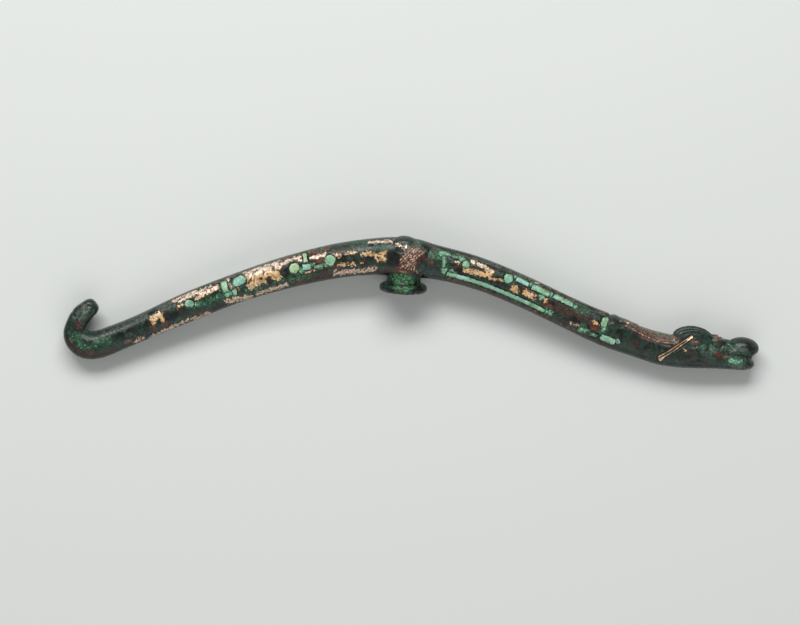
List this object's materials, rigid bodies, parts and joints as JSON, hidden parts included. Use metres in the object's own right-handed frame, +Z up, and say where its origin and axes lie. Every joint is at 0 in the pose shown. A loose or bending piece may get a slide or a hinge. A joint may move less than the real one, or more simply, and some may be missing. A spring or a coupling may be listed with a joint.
{
  "type": "garment hook",
  "caption": "Arched bronze garment hook with a small hooked end, a round button under the crown, a dragon's head and inlaid green stones.",
  "frame": {"origin": "centre of the bounding box at the level that the hook lies on", "axes": "+X from the hooked end to the dragon's head, +Y the way the arch rises, +Z up from the surface it lies on"},
  "size_m": [0.2002, 0.0388, 0.0136],
  "materials": {
    "bronze": "dark green-black patina, glossy where worn",
    "stone": "malachite, polished and weathered",
    "gilt": "worn gilding"
  },
  "bodies": {
    "root": {"bronze_casting": "bronze", "left_border_stone": "stone", "left_comma_stone": "stone", "left_corner_stone": "stone", "left_gilt_strip": "gilt", "left_left_disc_stone": "stone", "left_mushroom_stone": "stone", "left_right_disc_stone": "stone", "left_round_stone": "stone", "left_third_bar_stone": "stone", "left_upright_stone": "stone", "right_base_stone": "stone", "right_border_end_stone": "stone", "right_border_stone": "stone", "right_comma_stone": "stone", "right_corner_stone": "stone", "right_first_bar_stone": "stone", "right_gilt_strip": "gilt", "right_left_disc_stone": "stone", "right_link_stone": "stone", "right_lower_stone": "stone", "right_mushroom_stone": "stone", "right_post_stone": "stone", "right_ridge_chip_stone": "stone", "right_right_disc_stone": "stone", "right_round_stone": "stone", "right_second_bar_stone": "stone", "right_stem_stone": "stone", "right_tail_stone": "stone", "right_third_bar_stone": "stone", "right_upper_strip_stone": "stone", "right_upright_stone": "stone"}
  },
  "joints": []
}
